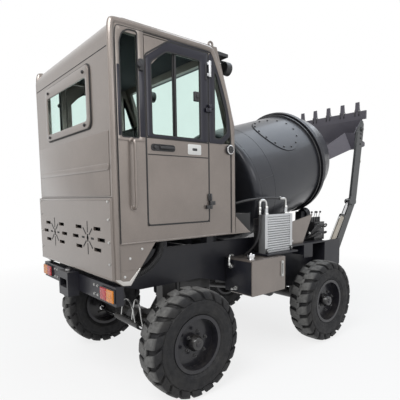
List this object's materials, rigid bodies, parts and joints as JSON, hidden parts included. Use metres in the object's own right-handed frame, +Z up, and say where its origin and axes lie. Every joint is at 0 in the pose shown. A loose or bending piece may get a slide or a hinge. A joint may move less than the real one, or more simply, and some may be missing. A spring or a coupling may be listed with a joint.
{
  "type": "self-loading concrete mixer",
  "caption": "Compact four-wheel self-loading concrete mixer: rear cab, tilted mixing drum, and a raised loading bucket with a spout on cranked front arms.",
  "frame": {"origin": "centre of the machine's plan outline, on the floor under the wheels", "axes": "+X forward from the cab towards the drum and bucket, +Y to the driver's left, +Z up"},
  "size_m": [3.833, 1.825, 2.8209],
  "materials": {
    "chassis_paint": "satin blue-black paint",
    "axle_paint": "satin black paint",
    "engine": "grey painted casting",
    "cab_paint": "bronze-grey metallic paint",
    "glass": "clear green-grey glass",
    "seat": "dark seat cover",
    "black_plastic": "black moulded plastic",
    "black_steel": "black paint",
    "lamp_red": "red and amber lenses",
    "cooler": "bare finned aluminium",
    "drum_paint": "silver-blue metallic paint",
    "ring_steel": "worn steel",
    "arm_paint": "dark grey metallic paint",
    "cylinder_paint": "cream paint",
    "rod_chrome": "hard chrome",
    "rim_paint": "black gloss paint",
    "tyre": "black rubber, dusty"
  },
  "bodies": {
    "chassis": {"chassis_frame": "chassis_paint", "front_axle": "axle_paint", "rear_axle": "axle_paint", "engine_block": "engine", "cab_shell": "cab_paint", "cab_side_left": "cab_paint", "cab_side_right": "cab_paint", "cab_floor": "cab_paint", "cab_roof": "cab_paint", "cab_glass": "glass", "driver_seat": "seat", "steering_console": "black_plastic", "sun_visor": "black_plastic", "work_lamps": "black_plastic", "side_lamps": "rod_chrome", "grab_handles": "cab_paint", "rear_cover": "cab_paint", "cab_skirts": "cab_paint", "rear_bumper": "chassis_paint", "tail_lamps": "lamp_red", "tow_hitch": "chassis_paint", "tank_left": "cab_paint", "tank_right": "cab_paint", "side_shelves": "chassis_paint", "oil_cooler": "cooler", "front_panel": "cab_paint", "valve_block": "black_steel", "drum_gearbox": "black_steel", "roller_stand": "chassis_paint"},
    "drum": {"drum_shell": "drum_paint", "drum_mouth": "drum_paint", "drum_ring": "ring_steel", "drum_hatch": "drum_paint"},
    "roller_left": {"roller_left": "ring_steel"},
    "roller_right": {"roller_right": "ring_steel"},
    "loader": {"loader_arms": "arm_paint"},
    "bucket": {"bucket_shell": "arm_paint", "bucket_spout": "arm_paint", "bucket_teeth": "arm_paint"},
    "lift_barrels": {"lift_barrels": "cylinder_paint"},
    "lift_rods": {"lift_rods": "rod_chrome"},
    "tilt_barrels": {"tilt_barrels": "cylinder_paint"},
    "tilt_rods": {"tilt_rods": "rod_chrome"},
    "door_left": {"door_left": "cab_paint", "door_glass_left": "glass"},
    "door_right": {"door_right": "cab_paint", "door_glass_right": "glass"},
    "knuckle_left": {"knuckle_left": "axle_paint"},
    "knuckle_right": {"knuckle_right": "axle_paint"},
    "steering_rod": {"steering_rod": "rod_chrome"},
    "wheel_rear_right": {"tyre_rear_right": "tyre", "rim_rear_right": "rim_paint"},
    "wheel_rear_left": {"tyre_rear_left": "tyre", "rim_rear_left": "rim_paint"},
    "wheel_front_right": {"tyre_front_right": "tyre", "rim_front_right": "rim_paint"},
    "wheel_front_left": {"tyre_front_left": "tyre", "rim_front_left": "rim_paint"}
  },
  "joints": [
    {"name": "steer_left", "type": "hinge", "parent": "chassis", "child": "knuckle_left", "pos_m": [-1.2015, 0.6, 0.4325], "axis": [0, 0, 1], "range_deg": [-25, 25]},
    {"name": "steer_right", "type": "hinge", "parent": "chassis", "child": "knuckle_right", "pos_m": [-1.2015, -0.6, 0.4325], "axis": [0, 0, 1], "range_deg": [-25, 25]},
    {"name": "steer_rod_slide", "type": "slide", "parent": "chassis", "child": "steering_rod", "axis": [0, 1, 0], "range_m": [-0.056, 0.056]},
    {"name": "wheel_rear_left_roll", "type": "hinge", "parent": "knuckle_left", "child": "wheel_rear_left", "pos_m": [-1.2015, 0.791, 0.4325], "axis": [0, 1, 0], "continuous": true},
    {"name": "wheel_rear_right_roll", "type": "hinge", "parent": "knuckle_right", "child": "wheel_rear_right", "pos_m": [-1.2015, -0.791, 0.4325], "axis": [0, 1, 0], "continuous": true},
    {"name": "wheel_front_left_roll", "type": "hinge", "parent": "chassis", "child": "wheel_front_left", "pos_m": [0.6275, 0.791, 0.4325], "axis": [0, 1, 0], "continuous": true},
    {"name": "wheel_front_right_roll", "type": "hinge", "parent": "chassis", "child": "wheel_front_right", "pos_m": [0.6275, -0.791, 0.4325], "axis": [0, 1, 0], "continuous": true},
    {"name": "drum_turn", "type": "hinge", "parent": "chassis", "child": "drum", "pos_m": [0.9165, 0, 1.978], "axis": [0.9598, 0, 0.2807], "continuous": true},
    {"name": "roller_left_turn", "type": "hinge", "parent": "chassis", "child": "roller_left", "pos_m": [1.07838, 0.23856, 1.34245], "axis": [0.9598, 0, 0.2807], "continuous": true},
    {"name": "roller_right_turn", "type": "hinge", "parent": "chassis", "child": "roller_right", "pos_m": [1.07838, -0.23856, 1.34245], "axis": [0.9598, 0, 0.2807], "continuous": true},
    {"name": "boom_lift", "type": "hinge", "parent": "chassis", "child": "loader", "pos_m": [0.9685, 0, 0.56], "axis": [0, -1, 0], "range_deg": [-76, 0]},
    {"name": "bucket_tilt", "type": "hinge", "parent": "loader", "child": "bucket", "pos_m": [1.7235, 0, 2.395], "axis": [0, -1, 0], "range_deg": [-15, 35]},
    {"name": "lift_barrel_swing", "type": "hinge", "parent": "chassis", "child": "lift_barrels", "pos_m": [0.9685, 0, 0.8], "axis": [0, -1, 0], "range_deg": [-80.86, 0.5]},
    {"name": "lift_rod_slide", "type": "slide", "parent": "lift_barrels", "child": "lift_rods", "axis": [0.5751, 0, 0.8181], "range_m": [-0.002, 0.288]},
    {"name": "tilt_barrel_swing", "type": "hinge", "parent": "loader", "child": "tilt_barrels", "pos_m": [1.6585, 0, 1.48], "axis": [0, -1, 0], "range_deg": [-2.02, 1.04]},
    {"name": "tilt_rod_slide", "type": "slide", "parent": "tilt_barrels", "child": "tilt_rods", "axis": [0.295, 0, 0.9555], "range_m": [-0.0621, 0.1422]},
    {"name": "door_right_swing", "type": "hinge", "parent": "chassis", "child": "door_right", "pos_m": [-0.9465, -0.765, 2], "axis": [0, 0, 1], "range_deg": [0, 75]},
    {"name": "door_left_swing", "type": "hinge", "parent": "chassis", "child": "door_left", "pos_m": [-0.9465, 0.765, 2], "axis": [0, 0, -1], "range_deg": [0, 75]}
  ],
  "couplings": [
    {"joint": "steer_right", "follows": "steer_left", "ratio": 1},
    {"joint": "steer_rod_slide", "follows": "steer_left", "m_per_rad": -0.12591},
    {"joint": "roller_left_turn", "follows": "drum_turn", "ratio": -8.9571},
    {"joint": "roller_right_turn", "follows": "drum_turn", "ratio": -8.9571},
    {"joint": "lift_barrel_swing", "follows": "boom_lift", "ratio": 1.0574},
    {"joint": "lift_rod_slide", "follows": "boom_lift", "m_per_rad": -0.21564},
    {"joint": "tilt_barrel_swing", "follows": "bucket_tilt", "ratio": -0.04925},
    {"joint": "tilt_rod_slide", "follows": "bucket_tilt", "m_per_rad": 0.22948}
  ]
}
